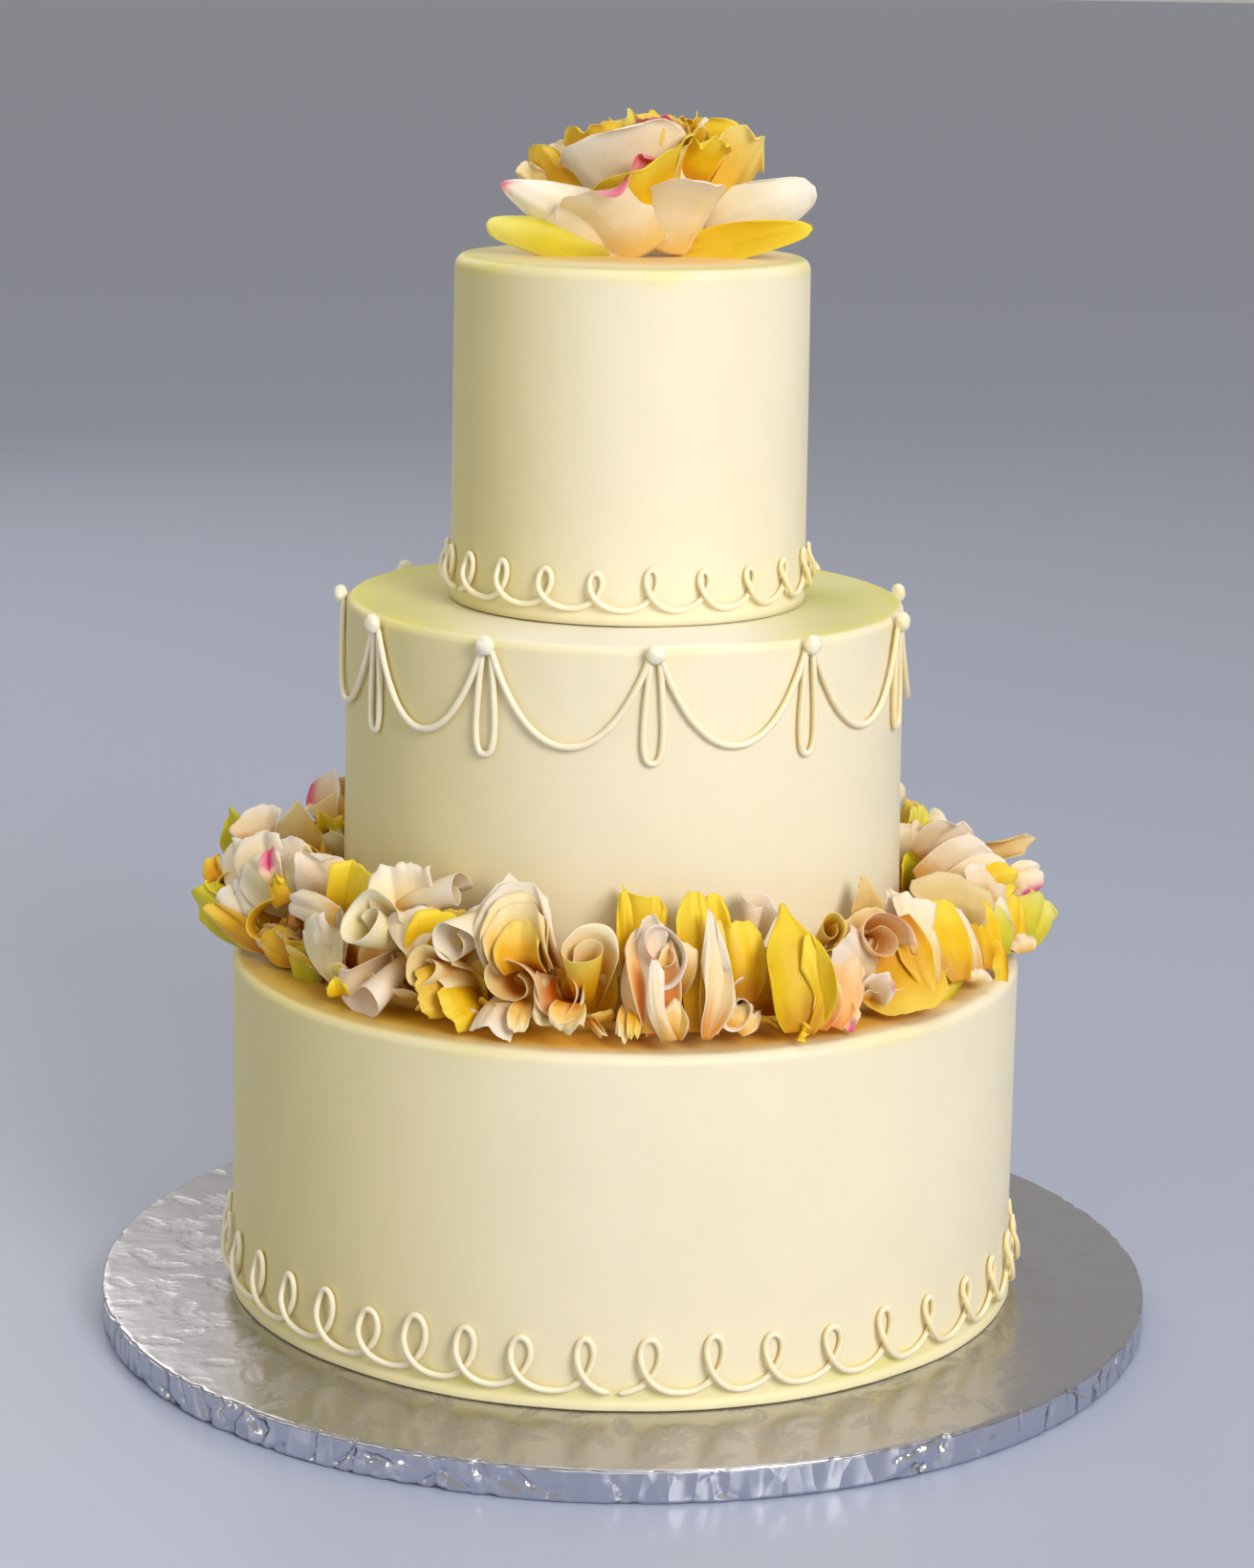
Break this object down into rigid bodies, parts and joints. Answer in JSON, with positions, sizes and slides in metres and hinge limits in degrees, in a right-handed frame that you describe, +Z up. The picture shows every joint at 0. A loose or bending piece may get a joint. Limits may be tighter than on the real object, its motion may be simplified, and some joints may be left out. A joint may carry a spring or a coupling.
{
  "type": "wedding cake",
  "caption": "Tiered round iced wedding cake on a foil-covered board, with piped loops and swags, a ring of rolled petals on its lowest ledge and an open rose on top.",
  "frame": {"origin": "centre of the board's underside, on the surface that the cake stands on", "axes": "+Z up, -Y toward the front of the cake, +X to the right as seen from the front"},
  "size_m": [0.4064, 0.4064, 0.4603],
  "materials": {
    "foil": "embossed foil over board",
    "icing": "smooth rolled icing, satin",
    "piping": "set piped icing",
    "petal_yellow": "thin satin petal",
    "petal_cream": "thin satin petal",
    "petal_peach": "thin satin petal"
  },
  "bodies": {
    "root": {"board": "foil", "tier_bottom": "icing", "tier_middle": "icing", "tier_top": "icing", "scroll_bottom": "piping", "scroll_top": "piping", "garland": "piping", "petal_yellow_tall_left": "petal_yellow", "roll_ivory_left": "petal_cream", "roll_blush_left": "petal_cream", "petal_cream_back": "petal_cream", "roll_white_back": "petal_cream", "roll_amber": "petal_cream", "roll_white_wide": "petal_cream", "fan_cream": "petal_cream", "roll_cream_spiral": "petal_cream", "roll_red_throat": "petal_cream", "roll_rose_spiral": "petal_cream", "petal_yellow_curl": "petal_yellow", "petal_white_ribbon": "petal_cream", "roll_blush_tip": "petal_cream", "petal_yellow_tall": "petal_yellow", "petal_white_boat": "petal_cream", "roll_white_low": "petal_cream", "petal_yellow_cup": "petal_yellow", "roll_blush_top": "petal_cream", "petal_yellow_wide": "petal_yellow", "roll_small_spiral": "petal_cream", "petal_peach_low": "petal_peach", "petal_peach_fold": "petal_peach", "roll_peach_spiral": "petal_peach", "petal_golden_wide": "petal_yellow", "petal_cream_fold": "petal_cream", "petal_yellow_right": "petal_yellow", "petal_yellow_far_right": "petal_yellow", "petal_tan_hood": "petal_cream", "petal_yellow_round_right": "petal_yellow", "roll_yellow_left": "petal_yellow", "petal_white_left": "petal_cream", "roll_yellow_small": "petal_yellow", "petal_blush_point": "petal_cream", "roll_rear_01": "petal_cream", "petal_rear_02": "petal_cream", "roll_rear_03": "petal_cream", "petal_rear_04": "petal_cream", "roll_rear_05": "petal_cream", "petal_rear_06": "petal_cream", "roll_rear_07": "petal_cream", "rose_front_left": "petal_cream", "rose_front_right": "petal_cream", "rose_left": "petal_cream", "rose_left_low": "petal_cream", "rose_right": "petal_cream", "rose_right_low": "petal_cream", "rose_back": "petal_cream", "rose_back_left": "petal_cream", "rose_right_tall": "petal_cream", "rose_inner_cream": "petal_cream", "rose_inner_yellow": "petal_yellow", "rose_heart": "petal_cream"}
  },
  "joints": []
}
